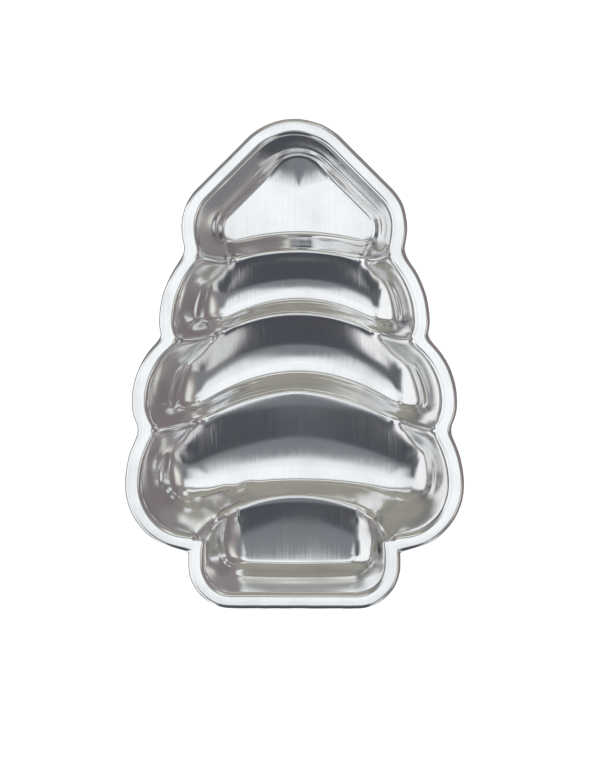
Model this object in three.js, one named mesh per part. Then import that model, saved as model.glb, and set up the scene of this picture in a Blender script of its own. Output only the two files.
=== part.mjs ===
import * as THREE from 'three';

// Tree-shaped cake pan drawn from one aluminium sheet: a rim, a common wall below it and five pockets sunk
// in the bottom, parted by four curved ridges. Millimetres, +Z up, +Y towards the tip, origin under the middle.

// Overall size in plan, over the lip
const LENGTH = 252.2;
const WIDTH = 175.6;

// Sheet and levels
const SHEET = 1.0; // thickness of the sheet
const HEIGHT = 40; // table to the top of the rim
const RIDGE_SHARE = 0.275; // level of ridges and crease, as a share of the height
const RIDGE = HEIGHT * RIDGE_SHARE;

// Rim, measured outwards from the top of the shoulder
const FLANGE = 3.3; // flat width
const LIP_RADIUS = 3.2; // outer radius of the turned-down lip
const LIP_SKIRT = 0.8; // straight end of the lip

// Wall section
const SHOULDER = 2.4; // run of the rounding between flange and wall
const CREST = 1.2; // run of the rounding on a ridge
const CREASE = 1.6; // run of the soft bend at ridge level
const FILLET = 2.4; // run of the fillet at the foot of a wall
const SIDE_FILLET = 7.5; // run of the wide fillet along the sides of a sloping floor
const APEX_RISE = 3; // how far the tip's floor slopes up to its apex
const APEX_RUN = 15; // length of that slope
const APEX_SPREAD = 8; // half-width of that slope
const LOWER_DRAFT = 0.13; // least lean of a pocket's side wall, run over rise
const LOWER_SHARE = 0.4; // share of a wall's run that lies below the crease, where that is more
const RAMP_FLAT = 0.12; // share of a pocket's length that lies flat at its foot
const RAMP_CREST = 0.03; // share of a pocket's length taken by the rounding at its head
const PEAK_ROUND = 0.12; // rounding at the middle of a peaked ridge, as a share of its half-length
const PARTING = 0.1; // how far each pocket stays back from a ridge line on the underside

// Tip: outline of the shoulder
const TIP_RADIUS = 29; // apex rounding
const TIP_CORNER = 22; // rounding between slanting side and widest point

// Lobes from tip to trunk, chained from the apex down and stretched to the overall size
// flare, fall: widest point of the shoulder, measured from the notch above, or from the apex
// notchIn, notchDrop: notch below, measured from the widest point
// noseRun, noseRise: from that notch to the end of the ridge
// bow: rise of the ridge at its middle; peak: how far it goes from a plain arc towards two straight legs
// head: share of that ridge's length that the next floor takes up
// inset, cornerLift: lower corner of the floor, measured from the widest point
// wallRun: floor edge above the ridge; cut: share of that edge rounded off at each corner
// lift: height of the floor's underside; ease: share of a sloping floor that curves out into its flat foot
// flat: share of its length that lies flat there; below 0 the floor still slopes where it meets the wall
// bottom: foot of the trunk below its widest point; corner: rounding of its lower corners
const TIP = { flare: 52.3, fall: 49.4, notchIn: 3.1, notchDrop: 15.3, noseRun: 13.5, noseRise: -3.2,
  bow: 6.0, peak: 0, head: 1, lift: 0, inset: 14.2, cornerLift: -7.6, wallRun: 10.9, cut: 0.1 };
const UPPER = { flare: 14.6, fall: 33.7, notchIn: 3.1, notchDrop: 9.4, noseRun: 16.0, noseRise: 0.7,
  bow: 13.3, peak: 0, head: 1, lift: 0, ease: 1, inset: 15.3, cornerLift: 0.2, wallRun: 8.7, cut: 0.08 };
const MIDDLE = { flare: 17.1, fall: 31.4, notchIn: 5.4, notchDrop: 14.5, noseRun: 19.0, noseRise: 2.0,
  bow: 17.6, peak: 0.35, head: 1, lift: 0, ease: 0.9, inset: 16.8, cornerLift: -3.1, wallRun: 11.5,
  cut: 0.07 };
const LOWER = { flare: 8.9, fall: 27.8, notchIn: 33.8, notchDrop: 27.6, noseRun: 5.0, noseRise: 6.5,
  bow: 15.0, peak: 0, head: 0.66, lift: 0, ease: 0.45, inset: 16.0, cornerLift: -4.4, wallRun: 9.6,
  cut: 0.3 };
const TRUNK = { flare: 1.4, fall: 10.7, bottom: 19.4, corner: 17, inset: 12.6, cornerLift: -1.2,
  wallRun: 17.4, cut: 0.16, lift: 1.4, ease: 1, flat: -0.3 };

// Facets along each stretch of the outline, of a ridge and of a wall section
const N_SIDE = 6;
const N_CORNER = 4;
const N_NOSE = 3;
const N_RIDGE = 7;
const N_OUTER = 2;
const N_LIP = 3;

const lerp = (a, b, t) => a + (b - a) * t;
const mix = (p, q, t) => new THREE.Vector3().lerpVectors(p, q, t);
const smooth = (t) => t * t * (3 - 2 * t);
const bezier = (p, q, r, t) => mix(mix(p, q, t), mix(q, r, t), t);
const mirror = (p) => new THREE.Vector3(-p.x, p.y, p.z);
const flat = (x, y) => new THREE.Vector3(x, y, 0);

// An arc of the left outline that stands upright at a lobe's widest point and passes through a notch
function sideArc(lobe, notch) {
  const dx = notch.x + lobe.half;
  const dy = notch.y - lobe.wide;
  const r = (dx * dx + dy * dy) / (2 * dx);
  return { x: r - lobe.half, y: lobe.wide, r };
}

// The crossing of two circles that lies nearest to a given point
function crossing(a, b, near) {
  const d = Math.hypot(b.x - a.x, b.y - a.y);
  const along = (a.r * a.r - b.r * b.r + d * d) / (2 * d);
  const off = Math.sqrt(Math.max(0, a.r * a.r - along * along));
  const ux = (b.x - a.x) / d;
  const uy = (b.y - a.y) / d;
  const both = [1, -1].map((s) => flat(a.x + ux * along - s * uy * off, a.y + uy * along + s * ux * off));
  return both[0].distanceTo(near) < both[1].distanceTo(near) ? both[0] : both[1];
}

const angleOf = (arc, p) => {
  const t = Math.atan2(p.y - arc.y, p.x - arc.x);
  return t < 0 ? t + 2 * Math.PI : t;
};
const onArc = (arc, t) => flat(arc.x + arc.r * Math.cos(t), arc.y + arc.r * Math.sin(t));
const grown = (arc, by) => ({ x: arc.x, y: arc.y, r: arc.r + by });

// Points on an arc from one angle to another, without the first
function sweep(arc, from, to, n) {
  return Array.from({ length: n }, (_, i) => onArc(arc, lerp(from, to, (i + 1) / n)));
}

// Widest point and lower notch of every lobe, on the left side
const CHAIN = [TIP, UPPER, MIDDLE, LOWER, TRUNK];
const RIM_WIDTH = FLANGE + LIP_RADIUS;
const TIP_TOP = LENGTH / 2 - RIM_WIDTH;
const chainLength = CHAIN.reduce((sum, l) => sum + l.fall + (l.notchDrop || l.bottom), 0);
const chainHalves = CHAIN.map((l, i) => CHAIN.slice(0, i).reduce((x, m) => x + m.flare - m.notchIn, l.flare));
const stretchX = (WIDTH / 2 - RIM_WIDTH) / Math.max(...chainHalves);
const stretchY = (2 * TIP_TOP) / chainLength;
const LOBES = [];
const NOTCHES = [];
for (const lobe of CHAIN) {
  const from = NOTCHES.length ? NOTCHES[NOTCHES.length - 1] : flat(0, TIP_TOP);
  const half = lobe.flare * stretchX - from.x;
  const wide = from.y - lobe.fall * stretchY;
  LOBES.push({ ...lobe, half, wide });
  if (lobe !== TRUNK) NOTCHES.push(flat(lobe.notchIn * stretchX - half, wide - lobe.notchDrop * stretchY));
}
const [TIP_LOBE, , , , TRUNK_LOBE] = LOBES;
const APEX = { x: 0, y: TIP_TOP - TIP_RADIUS, r: TIP_RADIUS };
const TIP_SIDE = { x: TIP_CORNER - TIP_LOBE.half, y: TIP_LOBE.wide, r: TIP_CORNER };
const TRUNK_FOOT = -TIP_TOP;
const TRUNK_END = { x: TRUNK.corner - TRUNK_LOBE.half, y: TRUNK_FOOT + TRUNK.corner, r: TRUNK.corner };
const upperArcs = LOBES.map((l, i) => (i === 0 ? TIP_SIDE : sideArc(l, NOTCHES[i - 1])));
const lowerArcs = LOBES.map((l, i) => (i === 4 ? TRUNK_END : sideArc(l, NOTCHES[i])));

// Left half of the outline, moved outwards by a distance: per lobe the points down to the widest one,
// the points round the lower corner, and the notch below
function outline(by) {
  const up = upperArcs.map((a) => grown(a, by));
  const low = lowerArcs.map((a) => grown(a, by));
  const notches = NOTCHES.map((n, i) => crossing(low[i], up[i + 1], n));
  const apex = grown(APEX, by);
  const dx = up[0].x - apex.x;
  const dy = up[0].y - apex.y;
  const turn = Math.atan2(dy, dx) - Math.acos((apex.r - up[0].r) / Math.hypot(dx, dy));
  const lean = turn < 0 ? turn + 2 * Math.PI : turn;
  const lobes = LOBES.map((l, i) => {
    const side = i === 0
      ? [onArc(apex, Math.PI / 2), ...sweep(apex, Math.PI / 2, lean, N_SIDE - 1), onArc(up[0], lean),
        ...sweep(up[0], lean, Math.PI, N_SIDE - 2)]
      : sweep(up[i], angleOf(up[i], notches[i - 1]), Math.PI, N_SIDE);
    if (i === 4) {
      const foot = sweep(low[4], Math.PI, 1.5 * Math.PI, N_CORNER + 1);
      const base = Array.from({ length: N_RIDGE }, (_, j) =>
        mix(foot[N_CORNER], flat(0, low[4].y - low[4].r), (j + 1) / N_RIDGE));
      return { side, corner: foot, base };
    }
    return { side, corner: sweep(low[i], Math.PI, angleOf(low[i], notches[i]), N_CORNER + 1).slice(0, -1),
      notch: notches[i] };
  });
  return lobes;
}

// The ridge below each lobe, left half: nose from notch to ridge end, then crest from that end to the middle
const rim = outline(0);
const RIDGES = LOBES.slice(0, -1).map((l, i) => {
  const notch = rim[i].notch;
  const end = flat(notch.x + l.noseRun, notch.y + l.noseRise);
  const r = (end.x * end.x + l.bow * l.bow) / (2 * l.bow);
  const middle = end.y + l.bow;
  const soft = (v) => Math.hypot(v, PEAK_ROUND) - PEAK_ROUND;
  const outer = l.head < 1 ? N_OUTER : 0;
  const crest = Array.from({ length: outer + N_RIDGE + 1 }, (_, j) => {
    const x = end.x * (j < outer ? lerp(1, l.head, j / outer) : l.head * (1 - (j - outer) / N_RIDGE));
    const arc = r - Math.sqrt(r * r - x * x);
    const legs = (l.bow * soft(x / end.x)) / soft(1);
    return new THREE.Vector3(x, middle - lerp(arc, legs, l.peak), RIDGE);
  });
  const heading = crest[0].clone().sub(crest[1]).normalize();
  const bend = end.clone().addScaledVector(heading, 0.25 * end.distanceTo(notch));
  const nose = Array.from({ length: N_NOSE - 1 }, (_, j) => {
    const t = (j + 1) / N_NOSE;
    const p = bezier(notch, bend, end, t);
    p.z = lerp(HEIGHT, RIDGE, smooth(t));
    return p;
  });
  return { nose, outside: crest.slice(0, outer + 1), crest: crest.slice(outer), middle };
});

// A surface under construction: welded vertices with optional fixed normals, and triangles facing up
class Skin {
  constructor() {
    this.points = [];
    this.normals = [];
    this.faces = [];
    this.index = new Map();
  }

  vertex(p, normal) {
    const key = [p.x, p.y, p.z].map((v) => Math.round(v * 1e4)).join(' ');
    if (!this.index.has(key)) {
      this.index.set(key, this.points.length);
      this.points.push(p.clone());
      this.normals.push(null);
    }
    const i = this.index.get(key);
    if (normal) this.normals[i] = normal;
    return i;
  }

  triangle(a, b, c) {
    if (a !== b && b !== c && c !== a) this.faces.push([a, b, c]);
  }

  quad(a, b, c, d) {
    this.triangle(a, b, c);
    this.triangle(a, c, d);
  }

  // The sheet: this surface on top, its copy one thickness below, and a band that closes the open edge. The
  // band's diagonals follow the coordinates, so two pieces that share an edge share its facets.
  thicken(by) {
    const sums = this.points.map(() => new THREE.Vector3());
    const edges = new Map();
    for (const f of this.faces) {
      const [a, b, c] = f.map((i) => this.points[i]);
      const n = b.clone().sub(a).cross(c.clone().sub(a));
      f.forEach((i, k) => {
        const p = this.points[i];
        const to = this.points[f[(k + 1) % 3]].clone().sub(p);
        const from = this.points[f[(k + 2) % 3]].clone().sub(p);
        sums[i].addScaledVector(n.clone().normalize(), to.angleTo(from));
        edges.set(`${i} ${f[(k + 1) % 3]}`, [i, f[(k + 1) % 3]]);
      });
    }
    const count = this.points.length;
    const below = this.points.map((p, i) =>
      p.clone().addScaledVector(this.normals[i] || sums[i].normalize(), -by));
    const faces = this.faces.flatMap(([a, b, c]) => [[a, b, c], [a + count, c + count, b + count]]);
    for (const [a, b] of edges.values()) {
      if (edges.has(`${b} ${a}`)) continue;
      const p = this.points[a];
      const q = this.points[b];
      if ((p.x - q.x || p.y - q.y) < 0) faces.push([a, b + count, b], [a, a + count, b + count]);
      else faces.push([a, a + count, b], [b, a + count, b + count]);
    }
    const geometry = new THREE.BufferGeometry();
    const xyz = [...this.points, ...below].flatMap((p) => [p.x, p.y, p.z]);
    geometry.setAttribute('position', new THREE.Float32BufferAttribute(xyz, 3));
    geometry.setIndex(faces.flat());
    return geometry;
  }
}

const SECTION = 10; // points in a wall section

// One wall section from the top edge in to the floor edge. The upper wall leans more than the pocket's own
// wall, with a soft bend at ridge level; below a ridge there is the pocket's wall only.
function section(top, foot, spread) {
  const run = Math.hypot(foot.x - top.x, foot.y - top.y);
  if (run < 1e-6) return new Array(SECTION).fill(top);
  const place = (d, z) => new THREE.Vector3(lerp(top.x, foot.x, d / run), lerp(top.y, foot.y, d / run), z);
  const share = Math.max(0, (top.z - RIDGE) / (HEIGHT - RIDGE));
  const full = Math.min(1, (top.z - foot.z) / (RIDGE - SHEET));
  const round = Math.min(lerp(CREST, SHOULDER, share) * full, 0.3 * run);
  const wide = Math.min(spread * full, 0.45 * run);
  const fillet = Math.min(FILLET * full, 0.4 * run) + wide;
  const lower = Math.max(fillet + (RIDGE - foot.z) * LOWER_DRAFT, wide + LOWER_SHARE * (run - wide));
  const t = place(round, top.z);
  const k = place(run - fillet, foot.z);
  const crease = place(Math.max(run - lower, 1.5 * round), RIDGE);
  const c = mix(mix(t, k, 0.5), crease, smooth(share));
  const t2 = mix(t, c, Math.min(0.4, round / t.distanceTo(c)));
  const bend = Math.min(0.3, CREASE / Math.min(t.distanceTo(c), c.distanceTo(k)));
  const c1 = mix(c, t, bend);
  const c2 = mix(c, k, bend);
  const k1 = mix(k, c, Math.min(0.5, (1.3 * fillet) / c.distanceTo(k)));
  return [top, bezier(top, t, t2, 0.5), t2, c1, bezier(c1, c, c2, 0.5), c2, k1, bezier(k1, k, foot, 0.35),
    bezier(k1, k, foot, 0.7), foot];
}

const UP = new THREE.Vector3(0, 0, 1);
const onRidge = (p) => p.z < HEIGHT - 1e-6;

// Normal on a ridge line or rim line, upright across the line
function lineNormals(line) {
  return line.map((p, i) => {
    const a = line[Math.max(0, i - 1)];
    const b = line[Math.min(line.length - 1, i + 1)];
    const along = b.clone().sub(a);
    if (i === 0 || i === line.length - 1 || Math.abs(p.z - RIDGE) < 1e-6) return UP;
    const across = flat(-along.y, along.x).normalize();
    const n = along.clone().cross(across).normalize();
    return n.z < 0 ? n.negate() : n;
  });
}

// Height of a pocket's floor at a share of the way from its head to its foot
function ramp(u, bottom, lobe) {
  const eased = (v) => Math.sqrt(v * v + RAMP_CREST * RAMP_CREST) - RAMP_CREST;
  const left = (v) => Math.max(0, 1 - eased(v) / eased(1 - (lobe.flat ?? RAMP_FLAT)));
  const share = (w) => (w < lobe.ease ? (w * w) / (2 * lobe.ease) : w - lobe.ease / 2);
  const foot = share(left(1));
  return lerp(bottom, RIDGE, (share(left(u)) - foot) / (share(1) - foot));
}

// A pocket: walls from the top edge down to the floor edge, and the floor between them
function pocket(i) {
  const lobe = LOBES[i];
  const skin = new Skin();
  const atRim = (p) => new THREE.Vector3(p.x, p.y, HEIGHT);
  const above = i > 0 ? RIDGES[i - 1] : null;
  const ridge = i < 4 ? RIDGES[i] : null;
  const outwards = above ? [...above.outside].reverse() : [];
  const noseAbove = above ? [...outwards, ...[...above.nose].reverse(), atRim(rim[i - 1].notch)] : [];
  const noseBelow = ridge ? [atRim(rim[i].notch), ...ridge.nose, ...ridge.outside] : [];
  const sideTop = [...noseAbove, ...rim[i].side.map(atRim)];
  const cornerTop = [...rim[i].corner.map(atRim), ...noseBelow];
  const baseTop = ridge ? ridge.crest.slice(1) : rim[i].base.map(atRim);

  // Floor edges: lower edge from corner to corner, side edge from the head to the corner
  const bottom = SHEET + lobe.lift;
  const widen = i > 0 ? SIDE_FILLET - FILLET : 0;
  const corner = new THREE.Vector3(lobe.inset + widen - lobe.half, lobe.wide + lobe.cornerLift, bottom);
  const lowMiddle = (ridge ? ridge.middle : TRUNK_FOOT) + lobe.wallRun;
  const low = (w) => new THREE.Vector3(corner.x * w, lerp(lowMiddle, corner.y, w * w), bottom);
  const inner = i === 0 ? outline(-lobe.inset)[0].side : null;
  const head = above ? above.crest[0] : null;
  const belly = above ? flat(corner.x, lerp(corner.y, head.y, 0.5)) : null;
  const edge = (u) => {
    const p = bezier(head, belly, corner, u);
    p.z = ramp(u, bottom, lobe);
    return p;
  };

  // Shares of the way down the side edge for each wall section
  const last = sideTop.length - 1;
  const SIDE_CUT = 0.1;
  const shares = sideTop.map((_, j) => {
    const nose = outwards.length > 1 ? 0.5 : 0.4;
    const haste = outwards.length > 1 ? 0.35 : 1;
    const n = outwards.length - 1 + N_NOSE;
    return j <= n ? nose * (j / n) ** haste : lerp(nose, 1 - SIDE_CUT, (j - n) / (last - n));
  });
  const apexShare = (p) => (p.y > rim[0].side[N_SIDE].y ? Math.max(0, 1 - (p.x / APEX_SPREAD) ** 2) ** 2 : 0);
  const apexFoot = (p) => new THREE.Vector3(p.x, p.y, SHEET + APEX_RISE * apexShare(p));
  const sideFoot = inner ? inner.map(apexFoot) : shares.map(edge);
  const baseFoot = baseTop.map((_, j) => low((1 - lobe.cut) * (1 - j / (N_RIDGE - 1))));
  const cornerFoot = cornerTop.map((_, j) =>
    bezier(sideFoot[last], corner, baseFoot[0], (j + 1) / (cornerTop.length + 1)));

  // Walls, left half then right half, all sections in one row
  const tops = [...sideTop, ...cornerTop, ...baseTop];
  const feet = [...sideFoot, ...cornerFoot, ...baseFoot];
  const noseNormals = new Map();
  const mark = (line) => lineNormals(line).forEach((n, j) => noseNormals.set(line[j], n));
  if (above) mark(noseAbove);
  if (ridge) mark(noseBelow);
  const spread = feet.map((p, j) => {
    if (i === 0) return 0;
    const fade = (last + 1 + cornerTop.length - j) / (cornerTop.length + 1);
    return j <= last ? widen : widen * smooth(Math.max(0, fade));
  });
  const half = tops.map((p, j) => section(p, feet[j], spread[j]));
  const normals = tops.map((p, j) => {
    const n = (noseNormals.get(p) || UP).clone();
    const across = flat(feet[j].x - p.x, feet[j].y - p.y).normalize();
    const onCrest = ridge && ridge.outside.includes(p) ? flat(0, 1) : across;
    const inwards = j < outwards.length ? flat(0, -1) : onCrest;
    return onRidge(p) ? n.addScaledVector(inwards, -PARTING / SHEET) : n;
  });
  const rightHalf = half.slice(0, -1).reverse().map((row) => row.map(mirror));
  const rightNormals = normals.slice(0, -1).reverse().map(mirror);
  const rows = [...half, ...rightHalf];
  const rowNormals = [...normals, ...rightNormals];
  if (i === 0) {
    rows.pop();
    rowNormals.pop();
  }
  const level = (p) => (p.z < bottom + 1e-6 ? UP : null);
  const ids = rows.map((row, r) => row.map((p, j) => skin.vertex(p, j === 0 ? rowNormals[r] : level(p))));
  const wraps = i === 0 ? rows.length : rows.length - 1;
  for (let r = 0; r < wraps; r += 1) {
    const a = ids[r];
    const b = ids[(r + 1) % rows.length];
    for (let j = 0; j < a.length - 1; j += 1) skin.quad(a[j], b[j], b[j + 1], a[j + 1]);
  }

  // Floor of the tip: a slope up to the apex, and a level part
  if (i === 0) {
    const start = (p) => (p.z > SHEET ? new THREE.Vector3(0.7 * p.x, p.y - APEX_RUN, SHEET) : p);
    const starts = rows.map((row) => start(row[SECTION - 1]));
    const loop = starts.map((p) => new THREE.Vector2(p.x, p.y));
    const feetIds = starts.map((p) => skin.vertex(p, UP));
    ids.forEach((row, r) => {
      const next = (r + 1) % ids.length;
      skin.quad(row[SECTION - 1], ids[next][SECTION - 1], feetIds[next], feetIds[r]);
    });
    const tiles = THREE.ShapeUtils.triangulateShape(loop, []);
    for (const tile of tiles) skin.triangle(...tile.map((v) => feetIds[v]));
    return skin.thicken(SHEET);
  }

  // Sloping floor: rows of arcs from the ridge above to the lower edge, each at one height
  const headArc = (w) => {
    const s = (1 - w) * N_RIDGE;
    const j = Math.min(N_RIDGE - 1, Math.floor(s));
    return mix(above.crest[j], above.crest[j + 1], s - j);
  };
  const floorPoint = (u, w) => {
    const side = edge(u);
    const span = mix(head, corner, u);
    const p = mix(headArc(w), low(w), u);
    return new THREE.Vector3((p.x * side.x) / span.x, p.y + (side.y - span.y) * w * w,
      ramp(u, bottom, lobe));
  };
  const columns = 2 * N_RIDGE;
  const grid = shares.map((u, r) => Array.from({ length: columns + 1 }, (_, c) => {
    const side = c - N_RIDGE;
    const outer = Math.abs(side) === N_RIDGE;
    if (outer) return skin.vertex(side < 0 ? sideFoot[r] : mirror(sideFoot[r]));
    const w = Math.abs(side) / N_RIDGE;
    const wLow = (Math.abs(side) * (1 - lobe.cut)) / (N_RIDGE - 1);
    const left = floorPoint(u, lerp(w, wLow, u));
    const p = side > 0 ? mirror(left) : left;
    return skin.vertex(p, r === 0 ? new THREE.Vector3(0, PARTING / SHEET, 1) : level(p));
  }));
  for (let r = 0; r < last; r += 1) {
    for (let c = 0; c < columns; c += 1) {
      skin.quad(grid[r][c], grid[r + 1][c], grid[r + 1][c + 1], grid[r][c + 1]);
    }
  }

  // Last strip of the floor, with the rounded corners filled as fans
  const leftBase = baseFoot.map((p) => skin.vertex(p));
  const rightBase = baseFoot.slice(0, -1).reverse().map((p) => skin.vertex(mirror(p)));
  const foot = [...leftBase, ...rightBase];
  for (let c = 1; c < columns - 1; c += 1) {
    skin.quad(grid[last][c], foot[c - 1], foot[c], grid[last][c + 1]);
  }
  const fanLeft = [grid[last][0], ...cornerFoot.map((p) => skin.vertex(p)), foot[0]];
  const mirrored = cornerFoot.slice().reverse().map((p) => skin.vertex(mirror(p)));
  const fanRight = [foot[foot.length - 1], ...mirrored, grid[last][columns]];
  for (let j = 0; j < fanLeft.length - 1; j += 1) skin.triangle(grid[last][1], fanLeft[j], fanLeft[j + 1]);
  for (let j = 0; j < fanRight.length - 1; j += 1) {
    skin.triangle(grid[last][columns - 1], fanRight[j], fanRight[j + 1]);
  }
  return skin.thicken(SHEET);
}

// Rim: closed rings round the whole outline, over the flange, down the lip and back below
function rimBand() {
  const curl = (r, n) => Array.from({ length: n + 1 }, (_, j) => {
    const t = lerp(Math.PI / 2, 0, j / n);
    return [FLANGE + r * Math.cos(t), HEIGHT - LIP_RADIUS + r * Math.sin(t)];
  });
  const inside = LIP_RADIUS - SHEET;
  const end = HEIGHT - LIP_RADIUS - LIP_SKIRT;
  const profile = [[0, HEIGHT], ...curl(LIP_RADIUS, N_LIP), [FLANGE + LIP_RADIUS, end],
    [FLANGE + inside, end], ...curl(inside, N_LIP).reverse(), [0, HEIGHT - SHEET]];
  const rings = profile.map(([by, z]) => {
    const left = outline(by).flatMap((l) => [...l.side, ...l.corner, ...(l.base || [l.notch])]);
    const right = left.slice(1, -1).reverse().map(mirror);
    return [...left, ...right].map((p) => new THREE.Vector3(p.x, p.y, z));
  });
  const n = rings[0].length;
  const index = [];
  for (let r = 0; r < rings.length; r += 1) {
    const s = (r + 1) % rings.length;
    for (let j = 0; j < n; j += 1) {
      const k = (j + 1) % n;
      index.push(r * n + j, s * n + j, s * n + k, r * n + j, s * n + k, r * n + k);
    }
  }
  const geometry = new THREE.BufferGeometry();
  const xyz = rings.flat().flatMap((p) => [p.x, p.y, p.z]);
  geometry.setAttribute('position', new THREE.Float32BufferAttribute(xyz, 3));
  geometry.setIndex(index);
  return geometry;
}

const pan = new THREE.Group();
pan.name = 'tree_cake_pan';
function add(name, geometry) {
  geometry.computeVertexNormals();
  const material = new THREE.MeshStandardMaterial({ color: 0xc9cbcc, roughness: 0.28, metalness: 1.0 });
  const mesh = new THREE.Mesh(geometry, material);
  mesh.name = name;
  pan.add(mesh);
}

add('rim', rimBand());
add('tip_pocket', pocket(0));
add('upper_tier_pocket', pocket(1));
add('middle_tier_pocket', pocket(2));
add('lower_tier_pocket', pocket(3));
add('trunk_pocket', pocket(4));

export default pan;
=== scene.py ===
# %% [markdown]
# A tree-shaped cake pan, pressed from one thin sheet of bright aluminium. The real pan has no seam
# and no second piece: a rim with a turned-down lip, one common wall, and below it five pockets that
# are parted by four curved ridges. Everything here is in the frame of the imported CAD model.

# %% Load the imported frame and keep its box
import math

import bpy
import numpy as np
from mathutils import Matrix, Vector


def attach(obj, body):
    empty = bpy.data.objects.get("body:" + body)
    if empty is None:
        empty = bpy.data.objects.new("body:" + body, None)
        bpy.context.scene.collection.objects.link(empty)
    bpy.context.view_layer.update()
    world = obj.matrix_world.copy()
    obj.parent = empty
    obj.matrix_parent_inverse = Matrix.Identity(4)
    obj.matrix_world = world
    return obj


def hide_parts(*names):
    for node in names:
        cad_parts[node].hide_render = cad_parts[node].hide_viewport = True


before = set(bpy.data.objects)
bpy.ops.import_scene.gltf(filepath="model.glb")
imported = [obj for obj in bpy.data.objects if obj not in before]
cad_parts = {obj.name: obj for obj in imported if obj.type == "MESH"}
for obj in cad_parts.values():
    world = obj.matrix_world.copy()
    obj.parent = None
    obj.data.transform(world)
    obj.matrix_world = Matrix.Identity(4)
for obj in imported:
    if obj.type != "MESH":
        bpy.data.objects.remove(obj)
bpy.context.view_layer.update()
print("nodes:", sorted(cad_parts))

# %% [markdown]
# The sizes come first, in millimetres, as a press tool's drawing would give them. The solids of the
# CAD model follow the same rule with few facets. Here the sheet is laid out again with many more
# points, because a mirror-like metal shows every facet as a broken reflection.

# %% Sizes of the sheet and its sections, in mm
SHEET, HEIGHT, RIDGE = 1.0, 40.0, 11.0  # thickness, top of the rim, crests of the ridges
FLANGE, CROWN, LIP_RADIUS, LIP_SKIRT = 3.3, 0.06, 3.2, 0.8  # the rim, from the shoulder outwards
SHOULDER, CREST, CREASE, FILLET = 2.8, 1.5, 2.6, 2.4  # roundings of a wall, from its top down
LEDGE, LEDGE_FALL = 1.8, 0.35  # small ledge at the crease, and its slope
LOWER_DRAFT, LOWER_SHARE = 0.13, 0.4  # lean of the wall below the crease, and its least share of the run
RAMP_FLAT, RAMP_CREST = 0.12, 0.035  # flat foot and rounded head of a sloping floor, as shares
SIDE_FILLET, SIDE_START = 9.0, 0.32  # wide fillet along a floor's sides, and the slope it starts with
APEX_RISE, APEX_RUN, APEX_BEND = 3.8, 14.8, 1.35  # slope of the tip's floor up to its apex
APEX_SPREAD = math.radians(80)
TIP_TOP, TIP_RADIUS, TIP_CORNER, TIP_MIDDLE = 119.6, 29.0, 22.0, 76.0
N_SIDE, N_CORNER, N_NOSE, N_RIDGE, N_OUTER, N_HEAD = 22, 13, 11, 32, 24, 5  # points along the lines
N_ROUND, N_STRAIGHT, N_BEND, N_FOOT = 6, 2, 4, 7  # steps in a wall section
N_STRIP, N_TIP, N_FLANGE, N_LIP = 4, 18, 6, 8  # points across the floors' edges, the tip and the rim
CROWDING = 1.35  # the points of a ridge lie closer together towards its ends
print("rim width in mm:", FLANGE + LIP_RADIUS)

# %% [markdown]
# The tree has five lobes: the tip, three tiers and the trunk. Each one is measured from the notch before
# it: `flare` is how far it stands out, `fall` how far its widest point lies below. `notch_in` and
# `notch_drop` lead on to the next notch, `nose_run` and `nose_rise` from there to the end of the ridge, and
# `bow`, `peak` and `head` shape the ridge. The rest is the floor: `inset`, `corner_lift`, `wall_run` and
# `cut` place its lower edge, `belly` rounds its sides, and `ease`, `flat` and `floor` shape its slope. The
# trunk alone has a `corner`, the radius at its foot.

# %% The five lobes, from the tip to the trunk
LOBES = [
    dict(flare=52.3, fall=49.4, notch_in=3.1, notch_drop=15.3, nose_run=13.5, nose_rise=-3.2,
         bow=6.0, peak=0.0, head=0.97, inset=14.2, corner_lift=-7.6, wall_run=10.9, cut=0.1),
    dict(flare=14.6, fall=33.7, notch_in=3.1, notch_drop=9.4, nose_run=16.0, nose_rise=0.7,
         bow=13.3, peak=0.0, head=0.93, inset=15.3, corner_lift=0.2, wall_run=8.7, cut=0.08,
         belly=0.35, ease=1.0),
    dict(flare=17.1, fall=31.4, notch_in=5.4, notch_drop=14.5, nose_run=19.0, nose_rise=2.0,
         bow=17.6, peak=0.35, head=0.98, inset=16.8, corner_lift=-3.1, wall_run=11.5, cut=0.07,
         belly=0.5, ease=0.9),
    dict(flare=8.9, fall=27.8, notch_in=33.8, notch_drop=27.6, nose_run=5.0, nose_rise=6.5,
         bow=15.0, peak=0.0, head=0.66, inset=16.0, corner_lift=-4.4, wall_run=9.6, cut=0.3,
         ease=0.45),
    dict(flare=1.4, fall=10.7, corner=17.0, inset=12.6, corner_lift=-1.2, wall_run=17.4, cut=0.16,
         ease=1.0, flat=-0.3, floor=2.4),
]
notches = []
for lobe in LOBES:
    x, y = notches[-1] if notches else (0.0, TIP_TOP)
    lobe["half"], lobe["wide"] = lobe["flare"] - x, y - lobe["fall"]
    if "notch_in" in lobe:
        notches.append((lobe["notch_in"] - lobe["half"], lobe["wide"] - lobe["notch_drop"]))
print("half widths:", [round(lobe["half"], 1) for lobe in LOBES])

# %% [markdown]
# The outline of the rim is a chain of arcs. Each side arc stands upright at a lobe's widest point and
# runs through the notch next to it. Points drawn by hand would leave bumps that bright metal shows at
# once, and arcs stay arcs when the outline is moved outwards.

# %% Arcs of the outline
def lerp(a, b, t):
    return a + (b - a) * t


def smooth(t):
    return t * t * (3 - 2 * t)


def side_arc(lobe, notch):
    dx, dy = notch[0] + lobe["half"], notch[1] - lobe["wide"]
    radius = (dx * dx + dy * dy) / (2 * dx)
    return np.array([radius - lobe["half"], lobe["wide"], radius])


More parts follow.
